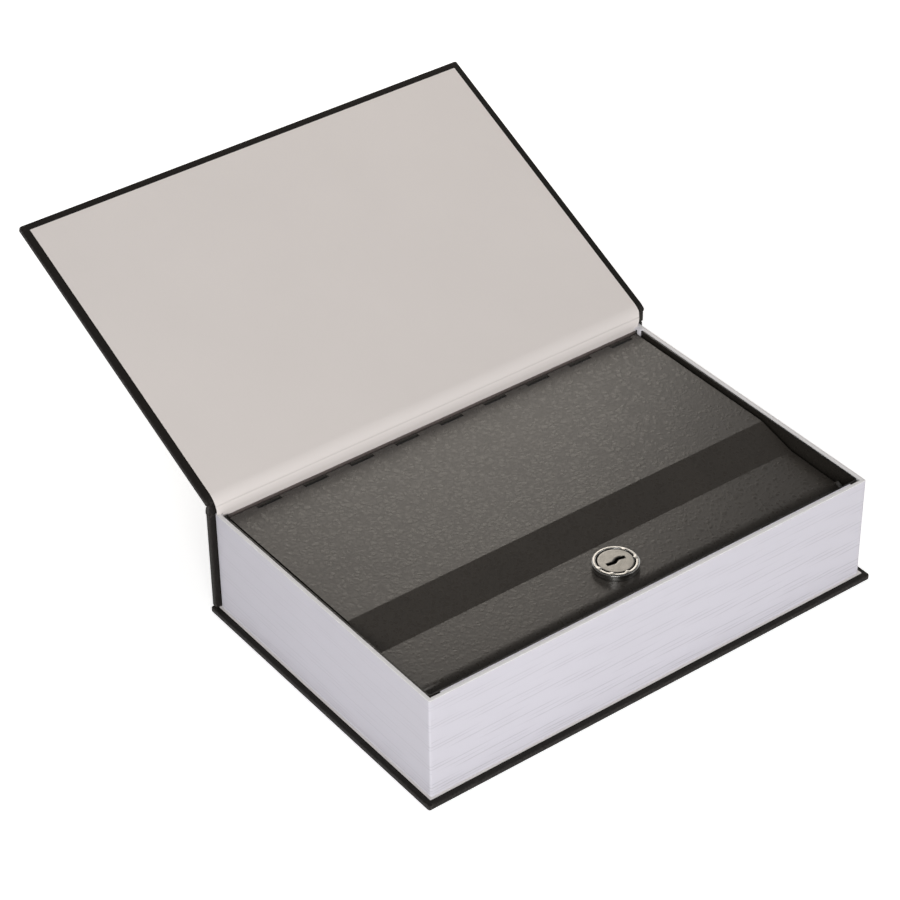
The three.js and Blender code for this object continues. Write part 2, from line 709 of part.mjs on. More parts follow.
const safe = new THREE.Group();
safe.add(backCover(), spineBoard(), backEndpaper(), ...pageBlock(), foreEdgeFlap());
safe.add(frontCover(), jointCloth(), gutterStrip());
safe.add(boxBody(), hingePin(), frontLedge());
safe.add(tapeStrip("tape_left", -1), tapeStrip("tape_right", 1));
safe.add(lidPanel(), lockHousing(), lockWasher(), lockNut());
safe.add(lockPlug(), lockCam(), camWasher(), camScrew());
for (let i = 0; i < waferCount; i += 1) {
  safe.add(wafer(i));
}

export default safe;
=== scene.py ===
import json
import math

import bmesh
import bpy
import numpy as np
from mathutils import Matrix, Vector


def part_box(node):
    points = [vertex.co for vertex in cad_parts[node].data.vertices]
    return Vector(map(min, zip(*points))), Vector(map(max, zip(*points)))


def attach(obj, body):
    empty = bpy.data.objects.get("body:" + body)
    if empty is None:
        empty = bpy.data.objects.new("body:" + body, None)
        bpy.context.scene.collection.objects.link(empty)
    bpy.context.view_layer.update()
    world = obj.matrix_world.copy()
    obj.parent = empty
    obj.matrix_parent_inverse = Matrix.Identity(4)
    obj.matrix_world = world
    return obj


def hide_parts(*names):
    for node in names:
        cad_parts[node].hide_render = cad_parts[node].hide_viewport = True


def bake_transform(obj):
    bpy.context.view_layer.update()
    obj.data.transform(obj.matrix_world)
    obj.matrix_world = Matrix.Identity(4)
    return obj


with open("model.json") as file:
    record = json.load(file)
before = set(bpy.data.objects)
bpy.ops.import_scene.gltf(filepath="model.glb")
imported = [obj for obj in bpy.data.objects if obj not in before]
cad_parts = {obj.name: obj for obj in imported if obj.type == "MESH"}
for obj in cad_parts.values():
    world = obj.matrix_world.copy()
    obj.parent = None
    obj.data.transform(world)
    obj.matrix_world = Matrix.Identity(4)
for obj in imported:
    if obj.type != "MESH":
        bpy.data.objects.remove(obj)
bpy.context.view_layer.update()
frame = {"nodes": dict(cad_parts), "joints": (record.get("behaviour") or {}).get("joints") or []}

# A book with a keyed steel box in its page block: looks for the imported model.
# Metres; X runs along the spine, -Y is the fore edge, +Z is up.

mm = 0.001
joints = {joint["name"]: joint for joint in frame["joints"]}
coverAxis = np.array(joints["cover_hinge"]["pos_m"])
coverTurn = math.radians(joints["cover_hinge"]["range_deg"][0])   # about X, from shut to open
lidAxis = np.array(joints["lid_hinge"]["pos_m"])
lockAxis = np.array(joints["lock_turn"]["pos_m"])


def cornersOf(node):
    return np.array(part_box(node))


backLow, backHigh = cornersOf("back_cover_board")
spineLow, spineHigh = cornersOf("spine_board")
foreLow, foreHigh = cornersOf("fore_edge_wall")
rearLow, rearHigh = cornersOf("spine_side_wall")
flapLow, flapHigh = cornersOf("fore_edge_flap")
lidLow, lidHigh = cornersOf("lid_panel")
lockLow, lockHigh = cornersOf("lock_housing")
plugLow, plugHigh = cornersOf("lock_plug")
gutterLow, gutterHigh = cornersOf("gutter_strip")
paperLow, paperHigh = cornersOf("front_endpaper")
blockTop = foreHigh[2]
wallThick = 1.85 * mm     # the page block's board
print("frame read")


# Short ways to build shader trees

class ShaderTree:
    # an input is given a value, or a node or socket to link
    def __init__(self, tree):
        self.tree = tree

    def give(self, socket, value):
        if isinstance(value, bpy.types.Node):
            value = value.outputs[0]
        if isinstance(value, bpy.types.NodeSocket):
            self.tree.links.new(value, socket)
        else:
            socket.default_value = value

    def node(self, kind, inputs=None, **settings):
        node = self.tree.nodes.new("ShaderNode" + kind)
        for setting, value in settings.items():
            setattr(node, setting, value)
        for label, value in (inputs or {}).items():
            self.give(node.inputs[label], value)
        return node

    def math(self, operation, *values):
        return self.node("Math", dict(enumerate(values)), operation=operation)

    def vector(self, operation, *values):
        return self.node("VectorMath", dict(enumerate(values)), operation=operation)

    def ramp(self, value, low, high, toLow=0.0, toHigh=1.0):
        return self.node("MapRange", {"Value": value, "From Min": low, "From Max": high, "To Min": toLow,
                                      "To Max": toHigh}, interpolation_type="SMOOTHSTEP")

    def noise(self, place, scale, detail=4.0, roughness=0.5):
        return self.node("TexNoise", {"Vector": place, "Scale": scale, "Detail": detail,
                                      "Roughness": roughness})


def placeObject(name, data):
    thing = bpy.data.objects.new(name, data)
    bpy.context.collection.objects.link(thing)
    return thing


# Stage, light and camera

stageLook = {
    "white": (1, 1, 1, 1),
    "floorSize": 6.0,
    "floorColour": (0.93, 0.93, 0.93, 1),
    "floorGlow": 0.57,             # near the book; full white farther off
    "glowReach": (0.5, 1.6),       # metres from the book over which it rises
    "worldLight": 0.26,
    "ceiling": 0.08,               # what a reflection finds overhead; the walls around are white
    "ceilingRise": (0.3, 0.62),    # height of the direction, from the walls to the ceiling
    "lampAim": (0, 0.04, 0.04),
    "lamps": {   # size across, watts, colour and place
        "frontLamp": (1.2, 27.2, (1, 1, 1), (-1.15, -1.4, 0.85)),
        "rightLamp": (1.2, 4.5, (1, 1, 1), (1.1, -1.3, 1.0)),
        "backLamp": (0.4, 0.96, (1, 0.93, 0.84), (0.305, 0.52, 0.41)),
    },
}


def emptyTree(owner):
    owner.use_nodes = True
    owner.node_tree.nodes.clear()
    return ShaderTree(owner.node_tree)


def seenMix(tree, other, seen, output):
    # the second shader shows where the camera, a reflection or a clear piece looks straight at it
    path = tree.node("LightPath").outputs
    ray = path["Is Camera Ray"]
    for label in ("Is Glossy Ray", "Is Transmission Ray"):
        ray = tree.math("MAXIMUM", ray, path[label])
    tree.node(output, {"Surface": tree.node("MixShader", {0: ray, 1: other, 2: seen})})


def makeWorld(look):
    world = bpy.data.worlds.new("studio")
    tree = emptyTree(world)
    direction = tree.node("SeparateXYZ", {0: tree.node("TexCoord").outputs["Generated"]})
    shade = tree.ramp(direction.outputs["Z"], *look["ceilingRise"], 1.0, look["ceiling"])
    soft = tree.node("Background", {"Color": look["white"], "Strength": look["worldLight"]})
    room = tree.node("Background", {"Color": look["white"], "Strength": shade})
    seenMix(tree, soft, room, "OutputWorld")
    return world


def makeFloor(look):
    half = look["floorSize"] / 2
    data = bpy.data.meshes.new("floor")
    data.from_pydata([(-half, -half, 0), (half, -half, 0), (half, half, 0), (-half, half, 0)], [],
                     [(0, 1, 2, 3)])
    paint = bpy.data.materials.new("paleFloor")
    tree = emptyTree(paint)
    away = tree.vector("LENGTH", tree.node("TexCoord").outputs["Object"]).outputs["Value"]
    glow = tree.node("Emission", {"Color": look["white"],
                                  "Strength": tree.ramp(away, *look["glowReach"], look["floorGlow"], 1.0)})
    matt = tree.node("BsdfDiffuse", {"Color": look["floorColour"]})
    seenMix(tree, matt, tree.node("AddShader", {0: matt, 1: glow}), "OutputMaterial")
    data.materials.append(paint)
    return placeObject("floor", data)


def makeLamp(name, size, power, colour, place, aim):
    data = bpy.data.lights.new(name, "AREA")
    data.shape = "DISK"
    data.size, data.energy, data.color = size, power, colour
    lamp = placeObject(name, data)
    lamp.location = place
    lamp.rotation_euler = (Vector(place) - Vector(aim)).to_track_quat("Z", "Y").to_euler()


# The photograph's view, fitted to the book's corners
cameraLook = {
    "azimuth": -36.54, "elevation": 36.62, "roll": -0.78,   # degrees
    "target": (0.03210, 0.108965, 0.0), "distance": 1.3758, "lens": 118.63, "sensor": 36,
    "farthest": 20,
}


def makeCamera(look):
    azimuth, elevation, roll = (math.radians(look[key]) for key in ("azimuth", "elevation", "roll"))
    back = Vector((math.sin(azimuth) * math.cos(elevation), -math.cos(azimuth) * math.cos(elevation),
                   math.sin(elevation)))
    right = (-back).cross(Vector((0, 0, 1))).normalized()
    up = right.cross(-back)
    side = math.cos(roll) * right + math.sin(roll) * up
    head = -math.sin(roll) * right + math.cos(roll) * up
    data = bpy.data.cameras.new("camera")
    data.lens, data.sensor_width, data.clip_end = look["lens"], look["sensor"], look["farthest"]
    camera = placeObject("camera", data)
    turn = Matrix((side, head, back)).transposed()
    camera.matrix_world = Matrix.Translation(Vector(look["target"]) + back * look["distance"]) @ turn.to_4x4()
    bpy.context.scene.camera = camera


bpy.context.scene.view_settings.view_transform = "Standard"
bpy.context.scene.world = makeWorld(stageLook)
makeFloor(stageLook)
for lampName, lampLook in stageLook["lamps"].items():
    makeLamp(lampName, *lampLook, stageLook["lampAim"])
makeCamera(cameraLook)
print("stage, lights and camera ready")


# Surfaces on grids

def together(*parts):
    # numbers and arrays spread to one shape and joined as coordinates
    return np.stack(np.broadcast_arrays(*parts), axis=-1)


def gridFaces(rows, columns, closed, keep, start):
    # each face joins a point, the next in its row, and the two above them
    row = np.arange(rows - 1)[:, None] * columns
    column = np.arange(columns if closed else columns - 1)
    ahead = (column + 1) % columns
    faces = together(row + column, row + ahead, row + columns + ahead, row + columns + column)
    if keep is not None:
        faces = faces[keep]
    return faces.reshape(-1, 4) + start


def makePiece(name, sheets, material, marks=None, sharpAngle=40, fillEnds=True):
    # sheets is one closed grid, or a list of (grid, closed, keep); a mark has a value for each of its points
    weld, sliver = 2e-6, 1e-6
    if not isinstance(sheets, list):
        sheets = [(sheets, True, None)]
    points = np.concatenate([sheet[0].reshape(-1, 3) for sheet in sheets])
    faces, start = [], 0
    for grid, closed, keep in sheets:
        faces.append(gridFaces(*grid.shape[:2], closed, keep, start))
        start += grid.shape[0] * grid.shape[1]
    data = bpy.data.meshes.new(name)
    data.from_pydata(points, [], np.concatenate(faces))
    for mark, values in (marks or {}).items():
        kind, field = ("FLOAT", "value") if values.ndim == 2 else ("FLOAT_VECTOR", "vector")
        values = values.astype(np.float32).ravel()
        data.attributes.new(mark, kind, "POINT").data.foreach_set(field, values)
    shape = bmesh.new()
    shape.from_mesh(data)
    bmesh.ops.remove_doubles(shape, verts=shape.verts, dist=weld)
    bmesh.ops.dissolve_degenerate(shape, edges=shape.edges, dist=sliver)
    loose = [vert for vert in shape.verts if not vert.link_faces]
    bmesh.ops.delete(shape, geom=loose, context="VERTS")
    if fillEnds:
        bmesh.ops.holes_fill(shape, edges=[edge for edge in shape.edges if edge.is_boundary], sides=0)
    bmesh.ops.recalc_face_normals(shape, faces=shape.faces)
    shape.to_mesh(data)
    shape.free()
    data.shade_smooth()
    data.set_sharp_from_angle(angle=math.radians(sharpAngle))
    data.materials.append(material)
    return placeObject(name, data)


def finishPiece(piece, body, slot, *replaced):
    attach(piece, body)
    if replaced:
        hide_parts(*replaced)


def outlineStations(longSteps, shortSteps, cornerSteps, eased=False):
    # round a rounded rectangle: two numbers run -1 to 1 along its sides, and two point outward
    sides = []
    for turn, steps in enumerate((longSteps, shortSteps, longSteps, shortSteps)):
        side = np.linspace(-1, 1, steps + 1)
        if eased:
            side = np.sin(side * math.pi / 2)   # closer together near the corners
        angle = np.linspace(-math.pi / 2, 0, cornerSteps + 1)[1:-1]
        run, bend = together(side, -1, 0, -1), together(1, -1, np.cos(angle), np.sin(angle))
        sx, sy, nx, ny = np.concatenate([run, bend]).T
        for _ in range(turn):
            sx, sy, nx, ny = -sy, sx, -ny, nx
        sides.append([sx, sy, nx, ny])
    return np.concatenate(sides, axis=1)


def carryRound(inset, height, half, middleY, radius, stations):
    # rows of insets and heights are carried round the rounded rectangle
    bend = np.maximum(radius - inset, 0)
    sx, sy, nx, ny = stations
    return together(sx * (half[0] - inset - bend) + bend * nx,
                    middleY + sy * (half[1] - inset - bend) + bend * ny, height)


def arc(centre, radius, fromDegrees, toDegrees, steps):
    angle = np.radians(np.linspace(fromDegrees, toDegrees, steps + 1))
    return together(centre[0] + radius * np.cos(angle), centre[1] + radius * np.sin(angle))


def roundedPath(corners, radii, steps):
    # straight runs between corners, each inner corner rounded by an arc of its radius
    corners = [np.array(corner, float) for corner in corners]
    path = [corners[0][None]]
    for before, corner, after, radius in zip(corners, corners[1:], corners[2:], radii):
        into = (corner - before) / np.linalg.norm(corner - before)
        out = (after - corner) / np.linalg.norm(after - corner)
        turn = math.atan2(into[0] * out[1] - into[1] * out[0], into @ out)
        start = corner - into * radius * math.tan(abs(turn) / 2)
        centre = start + math.copysign(1, turn) * radius * np.array([-into[1], into[0]])
        first = math.degrees(math.atan2(*(start - centre)[::-1]))
        path.append(arc(centre, radius, first, first + math.degrees(turn), steps))
    path.append(corners[-1][None])
    return np.concatenate(path)


def leftOf(path):
    # unit vectors square to a path, on its left
    along = np.gradient(path, axis=0)
    along /= np.linalg.norm(along, axis=1)[:, None]
    return together(-along[:, 1], along[:, 0])


def runOf(path):
    # the length along a path up to each of its points
    return np.concatenate([[0], np.cumsum(np.linalg.norm(np.diff(path, axis=0), axis=1))])


def pointsAt(stops, path):
    # the points of a path at these lengths along it
    run = runOf(path)
    return together(np.interp(stops, run, path[:, 0]), np.interp(stops, run, path[:, 1]))


def runAlongX(outline, stations):
    # a (y, z) outline set at each x; columns run round the outline
    return together(np.asarray(stations, float)[:, None], *outline.T)


def turned(u, v, angle):
    return together(u * math.cos(angle) - v * math.sin(angle), u * math.sin(angle) + v * math.cos(angle))


def thrownBack(y, z):
    # a place on the shut cover, measured from the joint's axis, where it lies with the cover open
    return coverAxis[1:] + turned(y, z, coverTurn)


# Shader groups shared by the materials; each takes a place

def newGroup(name, inputs, outputs):
    group = bpy.data.node_groups.new(name, "ShaderNodeTree")
    for way, kind, labels in (("INPUT", "Vector", ["Place"]), ("INPUT", "Float", inputs),
                              ("OUTPUT", "Float", outputs)):
        for label in labels:
            group.interface.new_socket(name=label, in_out=way, socket_type="NodeSocket" + kind)
    given, result = group.nodes.new("NodeGroupInput"), group.nodes.new("NodeGroupOutput")
    return ShaderTree(group), given.outputs, result.inputs


def paperFibreGroup():
    # long fine fibres and slow clouds: tone near 1, height in 0..1
    tree, given, result = newGroup("paperFibre", [], ["Tone", "Height"])
    stretched = tree.vector("MULTIPLY", given["Place"], (0.35, 1, 1))
    fibres = tree.noise(stretched, 2600, 5, 0.65)
    clouds = tree.noise(given["Place"], 22, 3)
    slow = tree.math("MULTIPLY", tree.math("SUBTRACT", clouds, 0.5), 0.05)
    fine = tree.math("MULTIPLY", tree.math("SUBTRACT", fibres, 0.5), 0.05)
    tree.give(result["Tone"], tree.math("ADD", tree.math("ADD", slow, fine), 1.0))
    tree.give(result["Height"], fibres)
    return tree.tree


def leatherGrainGroup():
    # rounded pebbles parted by creases, under longer wrinkles from a folded noise: height in 0..1
    tree, given, result = newGroup("leatherGrain", ["Pebble"], ["Height", "Crease"])
    drift = tree.noise(given["Place"], 420, 3).outputs["Color"]
    shifted = tree.vector("MULTIPLY_ADD", drift, (0.0016, 0.0016, 0.0016), given["Place"])
    cells = tree.node("TexVoronoi", {"Vector": shifted, "Scale": given["Pebble"]}, feature="DISTANCE_TO_EDGE")
    away = cells.outputs["Distance"]
    coarse = tree.noise(shifted, tree.math("MULTIPLY", given["Pebble"], 0.8), 3)
    folded = tree.math("ABSOLUTE", tree.math("SUBTRACT", coarse, 0.5))
    height = tree.math("ADD", tree.math("MULTIPLY", tree.ramp(away, 0.0, 0.35), 0.4),
                       tree.math("MULTIPLY", tree.noise(given["Place"], 2400), 0.15))
    wrinkle = tree.math("MULTIPLY", tree.ramp(folded, 0.0, 0.16), 0.45)
    tree.give(result["Height"], tree.math("ADD", height, wrinkle))
    tree.give(result["Crease"], tree.ramp(away, 0.0, 0.08, 1.0, 0.0))
    return tree.tree


def turnedMarksGroup():
    # fine rings round an upright axis, as left by a lathe: height in 0..1
    tree, given, result = newGroup("turnedMarks", [], ["Height", "Tone"])
    apart = tree.node("SeparateXYZ", {0: given["Place"]}).outputs
    flat = tree.node("CombineXYZ", {"X": apart["X"], "Y": apart["Y"]})
    reach = tree.vector("LENGTH", flat).outputs["Value"]
    line = tree.node("CombineXYZ", {"X": reach, "Z": apart["Z"]})
    tree.give(result["Height"], tree.noise(line, 9000, 3, 0.6))
    tree.give(result["Tone"], tree.ramp(tree.noise(given["Place"], 260), 0.3, 0.7, 0.86, 1.08))
    return tree.tree


paperFibre = paperFibreGroup()
leatherGrain = leatherGrainGroup()
turnedMarks = turnedMarksGroup()


class MaterialTree(ShaderTree):
    # a Principled material
    def __init__(self, name, colour, roughness, metallic=0.0, shine=0.5):
        self.material = bpy.data.materials.new(name)
        self.material.use_nodes = True
        super().__init__(self.material.node_tree)
        self.shader = self.tree.nodes["Principled BSDF"].inputs
        self.colour = colour
        self.give(self.shader["Roughness"], roughness)
        self.give(self.shader["Metallic"], metallic)
        self.give(self.shader["Specular IOR Level"], shine)

    def place(self, mark=None, move=(0, 0, 0)):
        # object coordinates, or a mark of the piece's own, moved to a new origin
        source = self.mark(mark, "Vector") if mark else self.node("TexCoord").outputs["Object"]
        return self.node("Mapping", {"Vector": source, "Location": move})

    def mark(self, name, output="Fac"):
        # zero on a piece that has no such mark
        return self.node("Attribute", attribute_name=name).outputs[output]

    def group(self, group, place, **values):
        return self.node("Group", {"Place": place, **values}, node_tree=group).outputs

    def tint(self, fac, other, base=None):
        # the base colour, or the colour so far, mixed towards another by a mask
        base = (*self.colour, 1) if base is None else base
        return self.node("Mix", {"Factor": fac, "A": base, "B": (*other, 1)},
                         data_type="RGBA").outputs["Result"]

    def toned(self, tone, base=None):
        # a colour multiplied by a value near 1
        base = self.colour if base is None else base
        return self.node("VectorMath", {0: base, "Scale": tone}, operation="SCALE")

    def finish(self, colour, height, depth, strength, roughness=None):
        self.give(self.shader["Base Color"], colour)
        if roughness is not None:
            self.give(self.shader["Roughness"], roughness)
        bump = self.node("Bump", {"Height": height, "Distance": depth, "Strength": strength})
        self.give(self.shader["Normal"], bump)
        return self.material


def linerPaperLook(name="linerPaper", mark=None, colour=(0.765, 0.71, 0.68)):
    # smooth warm endpaper with faint fibres and clouds, a painted highlight round its bend, and painted shade
    # greying its crease
    tree = MaterialTree(name, colour, 0.62, shine=0.25)
    fibre = tree.group(paperFibre, tree.place(mark))
    # painted highlight: lighter round the bend
    highlighted = tree.tint(tree.mark("bent"), (0.86, 0.80, 0.77), tree.toned(fibre["Tone"]))
    # painted shade greying the crease
    creaseShading = tree.math("MULTIPLY", tree.mark("creased"), 0.35)
    return tree.finish(tree.tint(creaseShading, (0.42, 0.38, 0.36), highlighted), fibre["Height"], 0.02 * mm, 0.5,
                       tree.ramp(fibre["Height"], 0.3, 0.7, 0.56, 0.68))


def pageBoardLook():
    # white board, slightly cool, the page lines darker in their grooves, and bare along the top edge
    tree = MaterialTree("pageBoard", (0.67, 0.65, 0.705), 0.7, shine=0.25)
    fibre = tree.group(paperFibre, tree.place())
    lined = tree.tint(tree.math("MULTIPLY", tree.mark("pageLine"), 0.55), (0.36, 0.35, 0.38),
                      tree.toned(fibre["Tone"]))
    return tree.finish(tree.tint(tree.mark("crown"), (0.82, 0.80, 0.80), lined), fibre["Height"],
                       0.03 * mm, 0.5, tree.ramp(fibre["Height"], 0.3, 0.7, 0.64, 0.76))


def bookClothLook():
    # black embossed covering paper, greyer where edges and corners rub
    tree = MaterialTree("bookCloth", (0.0135, 0.0115, 0.0102), 0.5, shine=0.12)
    place = tree.place("flatPlace")
    grain = tree.group(leatherGrain, place, Pebble=1500.0)["Height"]
    rubbed = tree.math("MULTIPLY", tree.mark("rubbed"), tree.ramp(tree.noise(place, 900, 5), 0.42, 0.62))
    return tree.finish(tree.tint(rubbed, (0.055, 0.049, 0.045)), grain, 0.05 * mm, 0.6,
                       tree.ramp(grain, 0.2, 0.9, 0.58, 0.42))


coatLook = {
    "pebble": 400.0, "depth": 0.045 * mm, "creaseShade": 0.4,
    # colour of the painted shade in the hinge's gaps and on the box's rim
    "grease": (0.003, 0.0025, 0.002),
    # painted shade lies in a strip before the pin, under the lid's top, darkening the gaps in the knuckle
    # notches; its sides fade between two places
    "under": (0.26 * mm, 0.18 * mm), "from": (2.2 * mm, 1.9 * mm), "to": (0.75 * mm, 0.5 * mm),
    "rim": (52.9 * mm, 53.1 * mm),   # painted shade: the box's own rim is as dark above this height
}


def powderCoatLook(name, colour, shine, look=coatLook):
    # powder coat with a fine leather-like texture, with painted shade in its creases, in the hinge's gaps and
    # on the box's rim
    tree = MaterialTree(name, colour, 0.3, shine=shine)
    place = tree.place()
    grain = tree.group(leatherGrain, place, Pebble=look["pebble"])
    # painted shade in the grain's creases
    creased = tree.tint(tree.math("MULTIPLY", grain["Crease"], 0.35),
                        tuple(channel * look["creaseShade"] for channel in colour))
    cloud = tree.ramp(tree.noise(place, 30, 3), 0.3, 0.7, 0.94, 1.06)
    apart = tree.node("SeparateXYZ", {0: place}).outputs
    low = tree.ramp(apart["Z"], *(lidHigh[2] - drop for drop in look["under"]), 1.0, 0.0)
    front = tree.ramp(apart["Y"], *(lidAxis[1] - gap for gap in look["from"]))
    behind = tree.ramp(apart["Y"], *(lidAxis[1] - gap for gap in look["to"]), 1.0, 0.0)
    strip = tree.math("MULTIPLY", tree.math("MULTIPLY", low, front), behind)
    # painted shade: the strip before the pin and the box's rim above its height
    paintedShade = tree.math("ADD", strip, tree.ramp(apart["Z"], *look["rim"]))
    return tree.finish(tree.tint(paintedShade, look["grease"], tree.toned(cloud, creased)), grain["Height"],
                       look["depth"], 0.8, tree.ramp(grain["Height"], 0.1, 0.9, 0.36, 0.24))


def turnedMetalLook(name, colour, roughness, depth):
    # plated metal with lathe rings round the lock's axis, faint smudges, and painted shade in its recesses
    tree = MaterialTree(name, colour, roughness, 1.0)
    marks = tree.group(turnedMarks, tree.place(move=(0, -lockAxis[1], 0)))
    return tree.finish(tree.tint(tree.mark("sunk"), (0.02, 0.018, 0.016), tree.toned(marks["Tone"])),
                       marks["Height"], depth, 0.5,
                       tree.ramp(marks["Height"], 0.3, 0.7, roughness * 0.85, roughness * 1.25))


def zincSteelLook(name, colour=(0.55, 0.55, 0.54), grain=(1, 1, 1)):
    # zinc-plated or drawn steel: cloudy spangle and a fine drawn grain
    tree = MaterialTree(name, colour, 0.38, 1.0)
    place = tree.place()
    drawn = tree.noise(tree.node("Mapping", {"Vector": place, "Scale": grain}), 3000, 4, 0.6)
    cloud = tree.ramp(tree.noise(place, 240), 0.3, 0.7, 0.86, 1.08)
    return tree.finish(tree.toned(cloud), drawn, 0.005 * mm, 0.5, tree.ramp(drawn, 0.3, 0.7, 0.3, 0.48))


def foamTapeLook():
    # open-celled foam between two films
    tree = MaterialTree("foamTape", (0.66, 0.64, 0.59), 0.9)
    cells = tree.noise(tree.place(), 1800, 6, 0.7)
    return tree.finish(tree.toned(tree.ramp(cells, 0.3, 0.7, 0.85, 1.05)), cells, 0.1 * mm, 0.6)


linerPaper = linerPaperLook(mark="flatPlace")
endPaper = linerPaperLook("backPaper", colour=(0.70, 0.67, 0.66))
pageBoard = pageBoardLook()
bookCloth = bookClothLook()
lidCoat = powderCoatLook("lidCoat", (0.042, 0.0365, 0.031), 0.5)
# a lighter copy of the coat for the box's rear rim: painted light on a face that lies in shade
rimCoat = powderCoatLook("rimCoat", (0.13, 0.108, 0.1), 0.5)
boxCoat = powderCoatLook("boxCoat", (0.024, 0.021, 0.0175), 0.35)
satinChrome = turnedMetalLook("satinChrome", (0.32, 0.31, 0.29), 0.3, 0.004 * mm)
brightChrome = turnedMetalLook("brightChrome", (0.47, 0.46, 0.44), 0.2, 0.002 * mm)
zincSteel = zincSteelLook("zincSteel")
pinSteel = zincSteelLook("pinSteel", (0.5, 0.5, 0.49), (0.04, 1, 1))
stampedBrass = zincSteelLook("stampedBrass", (0.55, 0.40, 0.16))
plugSteel = zincSteelLook("plugSteel", (0.05, 0.047, 0.043))
foamTape = foamTapeLook()
print("materials ready")


# Cover boards in black covering paper

boardShape = {
    "edgeRadius": 0.7 * mm,       # wrapped edges
    "planRadius": 1.1 * mm,       # corner as seen from above
    "borderRows": (1.2, 1.7, 2.3, 3.0, 3.7, 4.4, 5.2),   # mm in from the edge, where the heel is eased
    "turnIn": 15 * mm,            # covering folded over onto the inner face
    "foldStep": 0.16 * mm,        # its thickness
    "outerRow": 20 * mm,          # the outer face's innermost row
    "rubEdge": 0.9 * mm,          # wear along the edges
    "rubReach": 5 * mm,           # wear round each corner
    "heelReach": 4.35 * mm,       # the front board's rear edge is eased for the paper's bend
    "bendRadius": 9 * mm,
}


def boardPoints(half, thickness, middleY, shape):
    # a section up round the edge, from the outer face over the edge to the folded-in border
    radius = shape["edgeRadius"]
    profile = np.concatenate([
        [[shape["outerRow"], 0]], arc((radius, radius), radius, 270, 180, 5),
        arc((radius, thickness - radius), radius, 180, 90, 5),
        together(np.array(shape["borderRows"]) * mm, thickness),
        [[shape["turnIn"], thickness], [shape["turnIn"] + shape["foldStep"], thickness - shape["foldStep"]]]])
    stations = outlineStations(60, 44, 6, eased=True)
    points = carryRound(*profile.T[:, :, None], half, middleY, shape["planRadius"], stations)
    # rubbed is 1 on the edges and at the corners, fading inward
    gap = half - np.abs(points[..., :2] - (0, middleY))
    edge = np.clip(1 - gap.min(axis=-1) / shape["rubEdge"], 0, 1)
    edge *= np.clip(1 - np.abs(points[..., 2] - thickness / 2) / thickness * 0.4, 0, 1)
    corner = np.clip(1 - np.hypot(gap[..., 0], gap[..., 1]) / shape["rubReach"], 0, 1)
    return points, np.clip(0.35 * edge + 0.9 * corner ** 2, 0, 1)


def casedBoard(name, body, node, points, flat, rubbed):
    piece = makePiece(name, points, bookCloth, {"flatPlace": flat, "rubbed": rubbed})
    finishPiece(piece, body, "book_cloth", node)


def backCover(shape):
    size = backHigh - backLow
    points, rubbed = boardPoints(size[:2] / 2, size[2], 0, shape)
    casedBoard("backCoverCased", "book", "back_cover_board", points, points, rubbed)


# where the front board's faces lie when it is shut, measured from the joint's axis
boardCo = np.array([v.co for v in frame["nodes"]["front_cover_board"].data.vertices])
shut = turned(*(boardCo - coverAxis).T[1:], -coverTurn)
(coverFront, coverInner), (coverHeel, coverOuter) = shut.min(axis=0), shut.max(axis=0)


def frontCover(shape):
    half = np.array([backHigh[0], (coverHeel - coverFront) / 2])
    thickness = coverOuter - coverInner
    points, rubbed = boardPoints(half, thickness, (coverHeel + coverFront) / 2, shape)
    # the inner face falls away towards the heel, along an arc
    past = np.clip(points[..., 1] - (coverHeel - shape["heelReach"]), 0, None)
    ease = shape["bendRadius"] - np.sqrt(shape["bendRadius"] ** 2 - past ** 2)
    share = np.clip(points[..., 2] / thickness, 0, 1)
    points[..., 2] = coverOuter - points[..., 2] + share * ease
    thrown = np.concatenate([points[..., :1], thrownBack(points[..., 1], points[..., 2])], axis=-1)
    casedBoard("frontCoverCased", "front_cover", "front_cover_board", thrown, points, rubbed)


def spineCover(shape):
    # the spine board stands on edge: the same section, turned up
    size, middle = spineHigh - spineLow, (spineHigh + spineLow) / 2
    points, rubbed = boardPoints(size[[0, 2]] / 2, size[1], 0, shape)
    upright = together(points[..., 0], spineHigh[1] - points[..., 2], middle[2] + points[..., 1])
    casedBoard("spineCased", "book", "spine_board", upright, points, rubbed)


backCover(boardShape)
frontCover(boardShape)
spineCover(boardShape)
print("cover boards made")


# Endpaper: one sheet from the gutter behind the lid, round the joint and over the front cover

linerShape = {
    "thickness": 0.2 * mm,
    "creaseDepth": 0.14 * mm,
    "creaseWidth": 0.3 * mm,
    "creaseDrop": 1.6 * mm,   # the fold lies this far before the middle of the bend
    "stripEnd": 1.1 * mm,     # at the gutter, short of the end walls
    "foldHalf": 114.2 * mm,   # its right end is cut to this just over the block, and widens from there
    "widens": 6.5 * mm,       # to its full width, over this height
    "cutFrom": 0.04 * mm, "cutOver": 0.05 * mm,   # the step in its width, above the block
    "margin": 3.6 * mm,       # from the cover's fore edge
    "lift": 0.05 * mm,
    "denseRun": 18 * mm,      # rows lie close together up to here, round the bend
    "bentReach": 6 * mm,
}


def linerPath(shape, board):
    # the paper's hidden side: up the wall, an arc into the cover's inner face, and along it
    wallY = gutterHigh[1] if gutterHigh[1] < rearLow[1] else rearLow[1] - shape["lift"]
    face = coverInner - shape["lift"]
    far, near = thrownBack(coverFront + shape["margin"], face), thrownBack(coverHeel, face)
    along = (far - near) / np.linalg.norm(far - near)
    corner = near + along * (wallY - near[0]) / along[0]
    path = roundedPath([(wallY, gutterLow[2]), corner, far], [board["bendRadius"]], 28)
    stops = np.concatenate([np.linspace(0, shape["denseRun"], 73),
                            np.linspace(shape["denseRun"], runOf(path)[-1], 60)[1:]])
    return pointsAt(stops, path), stops, corner


